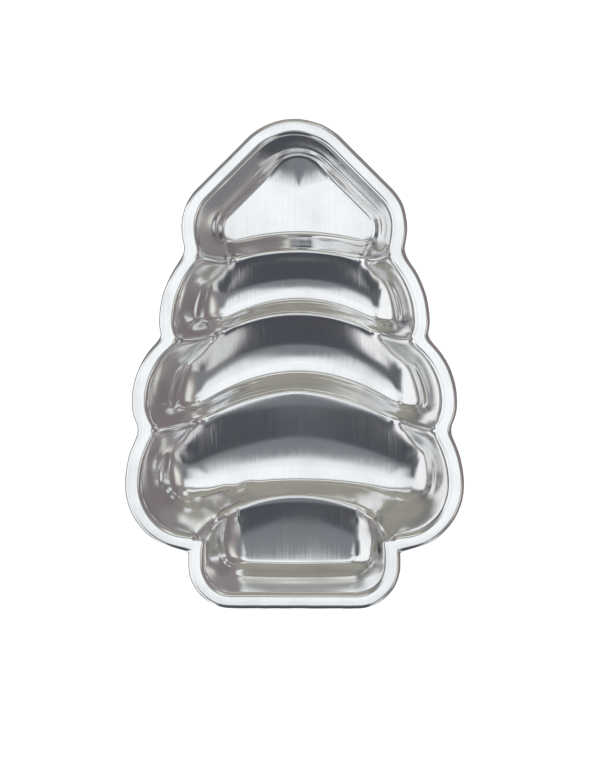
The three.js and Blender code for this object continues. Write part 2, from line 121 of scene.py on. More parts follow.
def crossing(a, b, near):
    d = math.hypot(b[0] - a[0], b[1] - a[1])
    along = (a[2] ** 2 - b[2] ** 2 + d * d) / (2 * d)
    off = math.sqrt(max(0.0, a[2] ** 2 - along * along))
    ux, uy = (b[0] - a[0]) / d, (b[1] - a[1]) / d
    meets = [(a[0] + ux * along - s * uy * off, a[1] + uy * along + s * ux * off) for s in (1, -1)]
    return min(meets, key=lambda p: math.dist(p, near))


def angle_of(arc, p):
    return math.atan2(p[1] - arc[1], p[0] - arc[0]) % (2 * math.pi)


def sweep(arc, start, end, n):
    t = lerp(start, end, np.arange(1, n + 1) / n)
    return np.column_stack([arc[0] + arc[2] * np.cos(t), arc[1] + arc[2] * np.sin(t)])


apex_arc = np.array([0.0, TIP_TOP - TIP_RADIUS, TIP_RADIUS])
tip_side = np.array([TIP_CORNER - LOBES[0]["half"], LOBES[0]["wide"], TIP_CORNER])
foot_radius = LOBES[4]["corner"]
trunk_foot = np.array([foot_radius - LOBES[4]["half"], foot_radius - TIP_TOP, foot_radius])
upper_arcs = [tip_side] + [side_arc(LOBES[i], notches[i - 1]) for i in range(1, 5)]
lower_arcs = [side_arc(LOBES[i], notches[i]) for i in range(4)] + [trunk_foot]
print("side radii:", [round(float(a[2]), 1) for a in lower_arcs])

# %% [markdown]
# Moving the outline outwards means growing every radius, and a notch is then where two grown arcs cross.
# The press can't make a sharp notch, so the points near it are relaxed a little.

# %% Left half of the outline, moved outwards by a distance
NOTCH_SPREAD, NOTCH_EASE, NOTCH_PASSES = 2.5, 0.6, 10


def outline(by):
    up = [a + (0, 0, by) for a in upper_arcs]
    low = [a + (0, 0, by) for a in lower_arcs]
    apex = apex_arc + (0, 0, by)
    cross = [crossing(low[i], up[i + 1], notches[i]) for i in range(4)]
    dx, dy = up[0][0] - apex[0], up[0][1] - apex[1]
    turn = math.acos((apex[2] - up[0][2]) / math.hypot(dx, dy))
    lean = (math.atan2(dy, dx) - turn) % (2 * math.pi)
    parts = []
    for i in range(5):
        if i == 0:
            head = sweep(apex, math.pi / 2 - 1e-9, lean, N_SIDE)
            start = np.array([[0.0, apex[1] + apex[2]]])
            end = sweep(up[0], lean - 1, lean, 1)[0]
            slant = lerp(head[-1], end, np.linspace(0, 1, N_SIDE)[1:, None])
            side = np.vstack([start, head, slant, sweep(up[0], lean, math.pi, N_SIDE)])
        else:
            side = sweep(up[i], angle_of(up[i], cross[i - 1]), math.pi, N_SIDE)
        if i == 4:
            corner = sweep(low[4], math.pi, 1.5 * math.pi, N_CORNER + 1)
            middle = np.array([0.0, low[4][1] - low[4][2]])
            base = lerp(corner[-1], middle, np.arange(1, N_RIDGE + 1)[:, None] / N_RIDGE)
            parts += [side, corner, base]
        else:
            corner = sweep(low[i], math.pi, angle_of(low[i], cross[i]), N_CORNER + 1)
            parts += [side, corner[:-1], np.array([cross[i]])]
    return parts


def relaxed(parts):
    line = np.vstack(parts)
    ends = np.cumsum([len(p) for p in parts])
    weight = np.zeros(len(line))
    for notch in ends[2:12:3] - 1:
        weight = np.maximum(weight, np.exp(-(((np.arange(len(line)) - notch) / NOTCH_SPREAD) ** 2)))
    for _ in range(NOTCH_PASSES):
        middle = 0.5 * (line[:-2] + line[2:])
        line[1:-1] = lerp(line[1:-1], middle, NOTCH_EASE * weight[1:-1, None])
    return np.split(line, ends[:-1])


RIM = relaxed(outline(0.0))
print("points on half the outline:", sum(len(p) for p in RIM))

# %% [markdown]
# A ridge parts two pockets. Its crest is an arc, or stands between an arc and two straight legs where
# the pan's third ridge has a peak. From each end of the crest a nose climbs to the notch in the rim.

# %% Crest and nose of the four ridges, left half
PEAK_ROUNDING, NOSE_BEND = 0.12, 0.25


def at_level(points, z):
    return np.column_stack([points, np.full(len(points), z)])


def bezier(p, q, r, t):
    return lerp(lerp(p, q, t), lerp(q, r, t), t)


def rounded_leg(v):
    return (np.hypot(v, PEAK_ROUNDING) - PEAK_ROUNDING) / (math.hypot(1, PEAK_ROUNDING) - PEAK_ROUNDING)


ridges = []
for i, lobe in enumerate(LOBES[:4]):
    notch = RIM[3 * i + 2][0]
    end = notch + (lobe["nose_run"], lobe["nose_rise"])
    radius = (end[0] ** 2 + lobe["bow"] ** 2) / (2 * lobe["bow"])
    middle = end[1] + lobe["bow"]
    inner = lobe["head"] * (1 - (np.arange(N_RIDGE + 1) / N_RIDGE) ** CROWDING)
    outer = np.linspace(1, lobe["head"], max(2, round(N_OUTER * (1 - lobe["head"]))) + 1)[:-1]
    x = end[0] * np.concatenate([outer, inner])
    arc_drop = radius - np.sqrt(radius**2 - x**2)
    drop = lerp(arc_drop, lobe["bow"] * rounded_leg(x / end[0]), lobe["peak"])
    crest = at_level(np.column_stack([x, middle - drop]), RIDGE)
    heading = (crest[0] - crest[1])[:2] / np.linalg.norm(crest[0] - crest[1])
    bend = end + heading * NOSE_BEND * np.linalg.norm(end - notch)
    t = np.arange(1, N_NOSE)[:, None] / N_NOSE
    nose = np.hstack([bezier(notch, bend, end, t), lerp(HEIGHT, RIDGE, smooth(t))])
    ridges.append(dict(crest=crest, nose=nose, middle=middle, outer=len(outer)))
print("ridge middles at y =", [round(float(r["middle"]), 1) for r in ridges])

# %% [markdown]
# The skin is gathered as strips of points: each strip is a grid, and strips that meet hold the same
# points along their common line. All strips are welded at the end, so the sheet has no seam. With each
# point go four facts: how worn it is, how far out on the lip, how far along the rim, and how much slack
# the metal has there to be dented.

# %% A gatherer for grids of points
class Skin:
    def __init__(self):
        self.points, self.quads, self.seams, self.count = [], [], [], 0
        self.facts = dict(worn=[], lip=[], along=[], slack=[])

    def grid(self, rows, closed=False, worn=0.0, lip=0.0, along=0.0, slack=1.0):
        n, m, _ = rows.shape
        ids = self.count + np.arange(n * m).reshape(n, m)
        self.count += n * m
        self.points.append(rows.reshape(-1, 3))
        for name, value in dict(worn=worn, lip=lip, along=along, slack=slack).items():
            self.facts[name].append(np.broadcast_to(value, (n, m)).reshape(-1))
        a = ids if closed else ids[:-1]
        b = np.roll(ids, -1, axis=0) if closed else ids[1:]
        self.quads.append(np.stack([a[:, :-1], b[:, :-1], b[:, 1:], a[:, 1:]], axis=-1).reshape(-1, 4))
        return ids


skin = Skin()
print("facts kept for each point:", list(skin.facts))

# %% [markdown]
# A wall section falls from the rim or a ridge to the floor: a rounded shoulder, the upper wall, a crease
# with a small ledge at ridge level, the steeper wall of the pocket, and a fillet at its foot. Along the
# sides of a floor the fillet is wide and starts at an angle, as the photo's white bands show. All
# sections of a pocket are worked out together. The line of creases is then let flow along the pocket,
# as drawn metal flows round a corner. A sweep along a path would twist in the corners.

# %% Wall sections
CREASE_FLOW, WAY_FLOW, FOOT_FLOW = 40, 12, 8


def unit_steps(n, first=False):
    return np.linspace(0, 1, n + 1)[0 if first else 1:, None, None]


def flowed(line, passes, closed):
    for _ in range(passes):
        near = 0.5 * (np.roll(line, 1, axis=0) + np.roll(line, -1, axis=0))
        if not closed:
            near[0], near[-1] = line[0], line[-1]
        line = lerp(line, near, 0.5)
    return line


def apart(a, b):
    return np.maximum(np.linalg.norm(a - b, axis=1, keepdims=True), 1e-9)


def wall_sections(tops, feet, wide, closed):
    up = np.array([0.0, 0.0, 1.0])
    flat = (feet - tops) * (1, 1, 0)
    run = apart(flat, 0)
    way = flat / run
    # share: 1 at the rim and 0 on a ridge; full: 0 where the wall has no height left.
    share = np.clip((tops[:, 2:] - RIDGE) / (HEIGHT - RIDGE), 0, 1)
    full = np.clip((tops[:, 2:] - feet[:, 2:]) / (RIDGE - SHEET), 0, 1)
    # No rounding may take more than its part of a short run.
    rounding = np.minimum(lerp(CREST, SHOULDER, share) * full, 0.3 * run)
    wide = np.minimum(wide[:, None] * full, 0.45 * run)
    fillet = np.minimum(FILLET * full, 0.4 * run) + wide
    lower = np.maximum(fillet + (RIDGE - feet[:, 2:]) * LOWER_DRAFT, wide + LOWER_SHARE * (run - wide))
    # The corners of the section: t at the top, c at the crease and k at the foot.
    t = tops + way * rounding
    k = tops + way * (run - fillet) + up * (feet[:, 2:] - tops[:, 2:] + SIDE_START * wide)
    crease = tops + way * np.maximum(run - lower, 1.5 * rounding) + up * (RIDGE - tops[:, 2:])
    c = flowed(lerp(lerp(t, k, 0.3), crease, smooth(share)), CREASE_FLOW, closed)
    way = flowed(way, WAY_FLOW, closed)
    half_ledge = np.minimum(0.5 * LEDGE * smooth(share), 0.12 * run)
    c_out = c - way * half_ledge + up * half_ledge * LEDGE_FALL
    c_in = c + way * half_ledge - up * half_ledge * LEDGE_FALL
    # Where each rounding ends and the straight part begins.
    t2 = lerp(t, c_out, np.minimum(0.45, rounding / apart(t, c_out)))
    bend = np.minimum(0.4, CREASE / np.minimum(apart(t, c_out), apart(c_in, k)))
    c1, c2 = lerp(c_out, t, bend), flowed(lerp(c_in, k, bend), FOOT_FLOW, closed)
    k1 = flowed(lerp(k, c_in, np.minimum(0.5, 1.3 * fillet / apart(c_in, k))), FOOT_FLOW, closed)
    parts = [
        bezier(tops, t, t2, unit_steps(N_ROUND, True)),
        lerp(t2, c1, unit_steps(N_STRAIGHT)),
        bezier(c1, c_out, c, unit_steps(N_BEND)),
        bezier(c, c_in, c2, unit_steps(N_BEND)),
        lerp(c2, k1, unit_steps(N_STRAIGHT)),
        bezier(k1, k, feet, unit_steps(N_FOOT)),
    ]
    return np.concatenate(parts).transpose(1, 0, 2)


print("points in one wall section:", N_ROUND + 2 * N_STRAIGHT + 2 * N_BEND + N_FOOT + 1)

# %% [markdown]
# Below the tip, a floor starts on the ridge above and runs down to its foot. The curve of that slope
# decides where the dark part of the reflection ends, so it was deduced from the photo: hollow in two tiers,
# nearly straight in the lower one, and still falling at its foot in the trunk.

# %% Height of a sloping floor, from its head on the ridge to its foot
def floor_level(i):
    return LOBES[i].get("floor", SHEET)


def ramp(i, u):
    ease, flat = LOBES[i]["ease"], LOBES[i].get("flat", RAMP_FLAT)

    def rounded(v):
        return np.sqrt(v * v + RAMP_CREST**2) - RAMP_CREST

    def left(v):
        return np.maximum(0, 1 - rounded(v) / rounded(1 - flat))

    def share(w):
        return np.where(w < ease, w**2 / (2 * ease), w - ease / 2)

    foot = share(left(1.0))
    return lerp(floor_level(i), RIDGE, (share(left(u)) - foot) / (share(1.0) - foot))


print("heights of the upper tier's floor:", ramp(1, np.linspace(0, 1, 5)).round(1).tolist())

# %% [markdown]
# The pan is the same on both sides, so only left halves are laid out. A pocket is bounded by a side, a
# corner and a base: the side runs from the ridge above along its nose to the widest point, the corner on
# to the next ridge, and the base along that ridge to the middle.

# %% Lines that bound a pocket, left half
def mirrored(points):
    return points * (-1, 1, 1)


def both_halves(line):
    return np.vstack([line, mirrored(line[:-1])[::-1]])


def pocket_lines(i):
    above = ridges[i - 1] if i > 0 else None
    side = [at_level(RIM[3 * i], HEIGHT)]
    if above:
        n = above["outer"]
        head = np.repeat(above["crest"][n:n + 1], N_HEAD, axis=0)
        notch = at_level(RIM[3 * i - 1], HEIGHT)
        side = [head, above["crest"][n::-1], above["nose"][::-1], notch] + side
    corner = [at_level(RIM[3 * i + 1], HEIGHT)]
    base = at_level(RIM[3 * i + 2], HEIGHT)
    if i < 4:
        n = ridges[i]["outer"]
        corner += [base, ridges[i]["nose"], ridges[i]["crest"][:n + 1]]
        base = ridges[i]["crest"][n + 1:]
    return above, np.vstack(side), np.vstack(corner), base


print("points on the tip pocket's lines:", [len(a) for a in pocket_lines(0)[1:]])

# %% [markdown]
# The floor has the same three edges. Its lower edge is a flat parabola, its side bows out by the lobe's
# belly, and the corner between them is rounded.

# %% Floor edges of a pocket, left half
CORNER_PACE = 0.7  # how far the corner's points follow the spacing of the points above them


def low_edge(i, w):
    lobe = LOBES[i]
    corner_x = lobe["inset"] - lobe["half"] + (SIDE_FILLET - FILLET if i > 0 else 0)
    corner_y = lobe["wide"] + lobe["corner_lift"]
    middle = (ridges[i]["middle"] if i < 4 else -TIP_TOP) + lobe["wall_run"]
    w = np.asarray(w, float)
    return at_level(np.column_stack([corner_x * w, lerp(middle, corner_y, w * w)]), floor_level(i))


def side_edge(i, u):
    head, corner = ridges[i - 1]["crest"][ridges[i - 1]["outer"]], low_edge(i, [1.0])[0]
    belly_x = lerp(head[0], corner[0], LOBES[i].get("belly", 1.0))
    belly = np.array([belly_x, lerp(corner[1], head[1], 0.5), 0.0])
    p = bezier(head, belly, corner, u[:, None])
    p[:, 2] = ramp(i, u)
    return p


def base_shares(i):
    inner = 1 - (np.arange(1, N_RIDGE + 1) / N_RIDGE) ** CROWDING
    return (1 - LOBES[i]["cut"]) * inner / inner[0]


def corner_edge(i, start, end, tops):
    steps = np.linalg.norm(np.diff(tops[:, :2], axis=0, prepend=tops[:1, :2] + 1.0), axis=1)
    even = np.arange(1, len(tops) + 1) / (len(tops) + 1)
    turn = lerp(even, np.cumsum(steps) / (steps.sum() + steps[-1]), CORNER_PACE)
    return bezier(start, low_edge(i, [1.0])[0], end, turn[:, None])


print("lower edge of the trunk's floor:", low_edge(4, [0, 1]).round(1).tolist())

# %% [markdown]
# The rows of a sloping floor are level lines, so each row has one height. They change from the ridge's
# shape at the head to that of the lower edge.

# %% Rows of a sloping floor
def floor_rows(i, shares):
    head = ridges[i - 1]["crest"][ridges[i - 1]["outer"]:]
    corner = low_edge(i, [1.0])[0]
    w_head = head[:, 0] / head[0, 0]
    w_low = np.concatenate([[w_head[0]], base_shares(i)])
    rows = []
    for u, here in zip(shares, side_edge(i, shares)):
        w = lerp(w_head, w_low, u)
        p = lerp(head, low_edge(i, w), u)
        span = lerp(head[0], corner, u)
        p[:, 0] *= here[0] / span[0]
        p[:, 1] += (here[1] - span[1]) * w**2
        p[:, 2] = ramp(i, u)
        p[0] = here
        rows.append(both_halves(p))
    return np.array(rows)


print("a floor row of the upper tier:", floor_rows(1, np.array([0.5]))[0][:2].round(1).tolist())

# %% [markdown]
# The tip's floor is level, apart from a slope up to its apex that shows as a dark streak in the photo. Its
# rows run from the foot of the wall to one point in the middle.

# %% Floor of the tip
def apex_rise(points):
    x, y = points[..., 0], points[..., 1] - apex_arc[1]
    short_of_foot = apex_arc[2] - LOBES[0]["inset"] - np.hypot(x, y)
    fade = np.cos(np.clip(np.arctan2(np.abs(x), y) / APEX_SPREAD, 0, 1) * math.pi / 2) ** 2
    return APEX_RISE * fade * np.clip(1 - short_of_foot / APEX_RUN, 0, 1) ** APEX_BEND


def tip_rows(feet):
    middle = np.array([0.0, TIP_MIDDLE, SHEET])
    rows = lerp(feet[:, None, :], middle, np.linspace(0, 1, N_TIP)[None, :, None])
    rows[..., 2] = SHEET + apex_rise(rows)
    return rows


foot_y = apex_arc[1] + apex_arc[2] - LOBES[0]["inset"]
print("rise at the apex:", apex_rise(np.array([[0, foot_y]])).round(2).tolist())

# %% [markdown]
# Now a pocket can be put together. Between the floor's last row and its lower edge lies a narrow strip, and
# the corners are filled by fans of faces. A fan's first line runs along one edge of the last row and has
# points of its own between that edge's ends, so it is kept as a seam and stitched to the row in the weld.

# %% Walls and floor of one pocket
TIER_SHARES = (0.0, 0.12, 0.42, 0.9)  # way down the floor at its head, the nose, the rim and the foot
TRUNK_SHARES = (0.0, 0.2, 0.5, 0.9)
WORN_WALL, WORN_FLOOR, SLACK_STEPS, TIP_SLACK = 2.5, 2.0, 6, 0.6


def floor_side(i, above, count):
    if above is None:
        side = at_level(outline(-LOBES[0]["inset"])[0], SHEET)
        side[:, 2] += apex_rise(side)
        return None, side
    marks = [0, N_HEAD, N_HEAD + above["outer"] + N_NOSE, count - 1]
    shares = np.interp(np.arange(count), marks, TRUNK_SHARES if i == 4 else TIER_SHARES)
    return shares, side_edge(i, shares)


def add_floor(i, shares, side, corner, base):
    rows = floor_rows(i, shares)
    steps = np.arange(len(rows))[:, None]
    skin.grid(rows, worn=np.exp(-steps / WORN_FLOOR), slack=np.clip(steps / SLACK_STEPS, 0, 1))
    across = np.linspace(0, 1, N_STRIP)[:, None, None]
    skin.grid(lerp(rows[-1][1:-1], both_halves(base), across))
    fan = np.vstack([side[-1:], corner, base[:1]])
    fan = lerp(fan, rows[-1][1], across).transpose(1, 0, 2)
    skin.seams += [skin.grid(fan)[0], skin.grid(mirrored(fan)[::-1])[-1]]


def add_pocket(i):
    above, side_top, corner_top, base_top = pocket_lines(i)
    shares, side = floor_side(i, above, len(side_top))
    base = low_edge(i, base_shares(i))
    corner = corner_edge(i, side[-1], base[0], corner_top)
    tops = both_halves(np.vstack([side_top, corner_top, base_top]))
    feet = both_halves(np.vstack([side, corner, base]))
    fade = smooth(1 - np.arange(1, len(corner) + 1) / (len(corner) + 1))
    wide = np.concatenate([np.ones(len(side)), fade, np.zeros(len(base))])
    wide = (SIDE_FILLET - FILLET) * wide * (i > 0)
    wide = np.concatenate([wide, wide[:-1][::-1]])
    closed = i == 0
    if closed:
        tops, feet, wide = tops[:-1], feet[:-1], wide[:-1]
    walls = wall_sections(tops, feet, wide, closed)
    steps = np.arange(walls.shape[1])[None, :]
    skin.grid(walls, closed, worn=np.exp(-steps / WORN_WALL), slack=np.clip(steps / SLACK_STEPS, 0, 1))
    if closed:
        skin.grid(tip_rows(feet), closed, slack=TIP_SLACK)
    else:
        add_floor(i, shares, side, corner, base)
    return len(tops)


print("wall sections per pocket:", [add_pocket(i) for i in range(5)])

# %% [markdown]
# The rim is a band of rings round the outline: a flat flange, and a lip that turns down through a quarter
# circle. The rings keep their distance along the rim, because the lip's waves are laid out on it later.

# %% Rim with its turned-down lip
LIP_START, RIM_WORN = 0.46 * math.pi, 0.35
profile = [(FLANGE * v, HEIGHT - CROWN * (2 * v - 1) ** 2 * v) for v in np.linspace(0, 1, N_FLANGE)]
for a in np.linspace(LIP_START, 0, N_LIP):
    profile.append((FLANGE + LIP_RADIUS * math.cos(a), HEIGHT - LIP_RADIUS + LIP_RADIUS * math.sin(a)))
profile += [(FLANGE + LIP_RADIUS, HEIGHT - LIP_RADIUS - LIP_SKIRT * v) for v in (0.5, 1.0)]
rings = []
for by, z in profile:
    left = at_level(np.vstack(relaxed(outline(by))), z)
    rings.append(np.vstack([left, mirrored(left[1:-1])[::-1]]))
rings = np.array(rings)[::-1].transpose(1, 0, 2)
steps = np.linalg.norm(np.diff(rings[:, 0, :], axis=0, append=rings[:1, 0, :]), axis=1)
along = np.concatenate([[0], np.cumsum(steps)[:-1]])[:, None]
lip = np.clip((np.array([by for by, z in profile])[::-1] - FLANGE) / LIP_RADIUS, 0, 1)[None, :]
skin.grid(rings, closed=True, worn=RIM_WORN, lip=lip, along=along, slack=0.0)
print("rim length in mm:", round(float(steps.sum())))

# %% [markdown]
# Welding turns the strips into one mesh. Points that agree within a thousandth of a millimetre become one,
# quads that have shrunk to a line are dropped, and the seams' points are put into the faces next to them.
# A sheet without a slit has open edges only along the lip, so any others are counted.

# %% Weld the strips
def welded(skin):
    points = np.vstack(skin.points)
    key = np.round(points * 1e3).astype(np.int64)
    _, first, index = np.unique(key, axis=0, return_index=True, return_inverse=True)
    index = index.reshape(-1)
    facts = {}
    for name, values in skin.facts.items():
        pick, start = (np.minimum, np.inf) if name == "slack" else (np.maximum, -np.inf)
        facts[name] = np.full(len(first), start)
        pick.at(facts[name], index, np.concatenate(values))
    faces = []
    for quad in index[np.vstack(skin.quads)]:
        ring = [int(v) for k, v in enumerate(quad) if v != quad[k - 1]]
        if len(set(ring)) == len(ring) and len(ring) > 2:
            faces.append(ring)
    for seam in skin.seams:
        stitch(faces, *index[seam].tolist())
    return points[first], faces, facts


def stitch(faces, start, *line):
    *middle, end = line
    for face in faces:
        for k in range(len(face)):
            if (face[k - 1], face[k]) == (start, end):
                face[k:k] = middle
            elif (face[k - 1], face[k]) == (end, start):
                face[k:k] = middle[::-1]


def edges_of(faces):
    pairs = np.array([(face[k - 1], face[k]) for face in faces for k in range(len(face))])
    return np.unique(np.sort(pairs, axis=1), axis=0, return_counts=True)


points, faces, facts = welded(skin)
mesh_edges, uses = edges_of(faces)
slits = (uses != 2) & (facts["lip"][mesh_edges].min(axis=1) < 1)
print("welded:", len(points), "points and", len(faces), "faces")
print("open edges apart from the lip's edge:", int(slits.sum()))

# %% [markdown]
# Beside the trunk the press had too much metal, and it gathered there in small puckers. They are shallow
# folds a few millimetres long, so they are laid on the mesh as smooth humps along its normals. Each line
# gives a place, a direction, a length, a width and a height. The foot of the lower tier's wall, left of the
# trunk, has a fold that bends the foot line to and fro, and there the points move along Y.

# %% Puckers and the wavy fold
PUCKERS = [
    (-35.0, -74.0, 40, 6.0, 2.0, 0.3), (-41.0, -80.0, 50, 5.0, 2.0, -0.25),
    (32.0, -71.0, -40, 6.0, 2.2, 0.3), (38.0, -76.5, -35, 6.0, 2.2, -0.25),
]
FOLD_PLACE, FOLD_SIZE, FOLD_HEIGHT, FOLD_WAVE = (-29.0, -63.0), (9.0, 4.0), 0.9, 15.0
FOLD_TOP = RIDGE - 3.0


def vertex_normals(points, faces):
    normals = np.zeros_like(points)
    for n in {len(face) for face in faces}:
        f = np.array([face for face in faces if len(face) == n])
        cross = np.cross(points[f[:, 2]] - points[f[:, 0]], points[f[:, -1]] - points[f[:, 1]])
        for k in range(n):
            np.add.at(normals, f[:, k], cross)
    return normals / np.linalg.norm(normals, axis=1, keepdims=True)


normals = vertex_normals(points, faces)
off_rim = facts["slack"] > 0.05
for x, y, turn, length, width, height in PUCKERS:
    a = math.radians(turn)
    du, dv = points[:, 0] - x, points[:, 1] - y
    u, v = du * math.cos(a) + dv * math.sin(a), -du * math.sin(a) + dv * math.cos(a)
    hump = height * np.exp(-((u / length) ** 2) - (v / width) ** 2)
    points = points + normals * (hump * off_rim)[:, None]
fold_x, fold_y = (points[:, :2] - FOLD_PLACE).T
fold = np.exp(-((fold_x / FOLD_SIZE[0]) ** 2) - (fold_y / FOLD_SIZE[1]) ** 2) * (points[:, 2] < FOLD_TOP)
points[:, 1] += FOLD_HEIGHT * np.sin(2 * math.pi * fold_x / FOLD_WAVE) * fold
print("share of normals that point up:", round(float((normals[:, 2] > 0).mean()), 3))

# %% [markdown]
# Sheet metal flows, so no line on the real pan is as sharp as the lines of this layout. The ends of the
# ridges, where four surfaces meet, are eased most, the walls at the pockets' lower corners less, and
# then the whole face a little, with steps that are short beside its smallest edges. The rim stays.

# %% Ease the face
RIM_GUARD, GUARD_FADE = 0.4, 5.0
END_EASE = dict(radius=7.0, most=0.7, passes=120)
CORNER_EASE = dict(radius=6.0, most=0.5, passes=25)
CORNER_SHIFT = (-8.0, -7.0, 0.0)  # from a floor's corner out to the wall behind it
FACE_EASE, FACE_PASSES, FACE_REACH = 0.5, 3, 0.2


def eased_face(points, weight, passes, reach=9.0):
    # In one pass no point moves further than `reach` times its shortest edge.
    a, b = mesh_edges.T
    count = np.bincount(mesh_edges.reshape(-1), minlength=len(points))[:, None]
    for _ in range(passes):
        total = np.zeros_like(points)
        np.add.at(total, a, points[b])
        np.add.at(total, b, points[a])
        step = (total / count - points) * weight[:, None]
        length, shortest = np.linalg.norm(points[a] - points[b], axis=1), np.full(len(points), 1e9)
        np.minimum.at(shortest, a, length)
        np.minimum.at(shortest, b, length)
        far = np.maximum(np.linalg.norm(step, axis=1), 1e-12)
        points = points + step * np.minimum(1, reach * shortest / far)[:, None]
    return points


def eased_near(points, free, spots, radius, most, passes):
    spots = np.vstack([spots, mirrored(spots)])
    near = np.sqrt(((points[:, None, :2] - spots[None, :, :2]) ** 2).sum(axis=2)).min(axis=1)
    return eased_face(points, most * free * np.exp(-((near / radius) ** 2)), passes)


free = smooth(np.clip((HEIGHT - RIM_GUARD - points[:, 2]) / GUARD_FADE, 0, 1))
ends = np.vstack([np.vstack([r["nose"][3:], r["crest"][:2]]) for r in ridges])
corners = np.array([low_edge(i, [1.0])[0] + CORNER_SHIFT for i in range(1, 5)])
points = eased_near(points, free, ends, **END_EASE)
points = eased_near(points, free, corners, **CORNER_EASE)
points = eased_face(points, FACE_EASE * free * (facts["slack"] > 0.1), FACE_PASSES, FACE_REACH)
points[:, 2] = np.maximum(points[:, 2], SHEET)
print("lowest and highest point in mm:", points[:, 2].min().round(2), points[:, 2].max().round(2))

# %% [markdown]
# The face becomes a Blender mesh in metres. The four facts go along as attributes, so node trees can
# read them.

# %% The sheet's upper face as a Blender mesh
MM = 0.001
mesh = bpy.data.meshes.new("pan_sheet")
mesh.from_pydata((points * MM).tolist(), [], faces)
for name, scale in (("worn", 1.0), ("lip", 1.0), ("along", MM), ("slack", 1.0)):
    layer = mesh.attributes.new(name, "FLOAT", "POINT")
    layer.data.foreach_set("value", (facts[name] * scale).astype(np.float32))
mesh.update()
upper = bpy.data.objects.new("pan_sheet_upper", mesh)
bpy.context.scene.collection.objects.link(upper)
print("upper face:", len(mesh.vertices), "vertices")

# %% [markdown]
# Geometry Nodes turn this face into a sheet. The tree first lays slow dents on the drawn walls and short
# waves on the lip, both from noise with a fixed seed, then pushes a copy of the face one thickness
# down and joins the two along the lip's edge. As a tree, its thickness and unevenness stay adjustable.

# %% Helpers for node trees
def new_tree(name, kind, sockets):
    tree = bpy.data.node_groups.new(name, kind)
    for label, way, socket, value in sockets:
        made = tree.interface.new_socket(name=label, in_out=way, socket_type=socket)
        if value is not None:
            made.default_value = value
    return tree


def put(tree, kind, links=(), **settings):
    node = tree.nodes.new(kind)
    for name, value in settings.items():
        setattr(node, name, value)
    for socket, source in links:
        if isinstance(source, bpy.types.NodeSocket):
            tree.links.new(source, node.inputs[socket])
        else:
            node.inputs[socket].default_value = source
    return node


def calc(tree, operation, a, b=0.0, clamp=False):
    return put(tree, "ShaderNodeMath", [(0, a), (1, b)], operation=operation, use_clamp=clamp).outputs[0]


def scaled(tree, vector, by):
    return put(tree, "ShaderNodeVectorMath", [(0, vector), ("Scale", by)], operation="SCALE").outputs[0]


print("helpers ready:", [f.__name__ for f in (new_tree, put, calc, scaled)])

# %% [markdown]
# The tree's inputs are what a press shop would set: thickness, depth and spacing of dents and waves.

# %% The drawn-sheet tree: dents and waves
tree = new_tree("drawn_sheet", "GeometryNodeTree", [
    ("Face", "INPUT", "NodeSocketGeometry", None),
    ("Sheet thickness", "INPUT", "NodeSocketFloat", 0.001),
    ("Dent depth", "INPUT", "NodeSocketFloat", 0.00008),
    ("Dent spacing", "INPUT", "NodeSocketFloat", 0.03),
    ("Lip wave depth", "INPUT", "NodeSocketFloat", 0.0003),
    ("Lip wave spacing", "INPUT", "NodeSocketFloat", 0.009),
    ("Seed", "INPUT", "NodeSocketFloat", 3.0),
    ("Finish", "INPUT", "NodeSocketMaterial", None),
    ("Sheet", "OUTPUT", "NodeSocketGeometry", None),
])
inputs = put(tree, "NodeGroupInput").outputs


def fact(name):
    node = put(tree, "GeometryNodeInputNamedAttribute", [("Name", name)], data_type="FLOAT")
    return node.outputs["Attribute"]


place = put(tree, "GeometryNodeInputPosition").outputs[0]
normal = put(tree, "GeometryNodeInputNormal").outputs["Normal"]
dents = put(tree, "ShaderNodeTexNoise", [
    ("Vector", place), ("W", inputs["Seed"]), ("Detail", 1.0),
    ("Scale", calc(tree, "DIVIDE", 1.0, inputs["Dent spacing"]))], noise_dimensions="4D").outputs["Fac"]
dent = calc(tree, "MULTIPLY", dents, inputs["Dent depth"])
dent = calc(tree, "MULTIPLY", calc(tree, "MULTIPLY", dent, 2.0), fact("slack"))
way_along = calc(tree, "DIVIDE", fact("along"), inputs["Lip wave spacing"])
waves = put(tree, "ShaderNodeTexNoise", [
    ("W", calc(tree, "ADD", way_along, inputs["Seed"])), ("Scale", 1.0), ("Detail", 2.0)],
    noise_dimensions="1D").outputs["Fac"]
wave = calc(tree, "MULTIPLY", calc(tree, "MULTIPLY", waves, fact("lip")), inputs["Lip wave depth"])
moved = scaled(tree, normal, calc(tree, "SUBTRACT", dent, wave))
face = put(tree, "GeometryNodeSetPosition", [("Geometry", inputs["Face"]), ("Offset", moved)]).outputs[0]
print("dents and waves:", len(tree.nodes), "nodes")

# %% [markdown]
# The underside is the same face pushed down along its normals. Extruding also makes the edge of the lip, so
# the sheet is closed all round.

# %% The drawn-sheet tree: thickness and finish
WELD = 0.000005
down = scaled(tree, put(tree, "GeometryNodeInputNormal").outputs["Normal"], -1.0)
below = put(tree, "GeometryNodeExtrudeMesh", [
    ("Mesh", face), ("Offset", down), ("Offset Scale", inputs["Sheet thickness"]),
    ("Individual", False)]).outputs["Mesh"]
below = put(tree, "GeometryNodeFlipFaces", [("Mesh", below)]).outputs[0]
joined = put(tree, "GeometryNodeJoinGeometry")
for part in (below, face):
    tree.links.new(part, joined.inputs[0])
sheet = joined.outputs[0]
sheet = put(tree, "GeometryNodeMergeByDistance", [("Geometry", sheet), ("Distance", WELD)]).outputs[0]
sheet = put(tree, "GeometryNodeSetShadeSmooth", [("Geometry", sheet), ("Shade Smooth", True)]).outputs[0]
sheet = put(tree, "GeometryNodeRealizeInstances", [("Geometry", sheet)]).outputs[0]
sheet = put(tree, "GeometryNodeSetMaterial", [("Geometry", sheet), ("Material", inputs["Finish"])]).outputs[0]
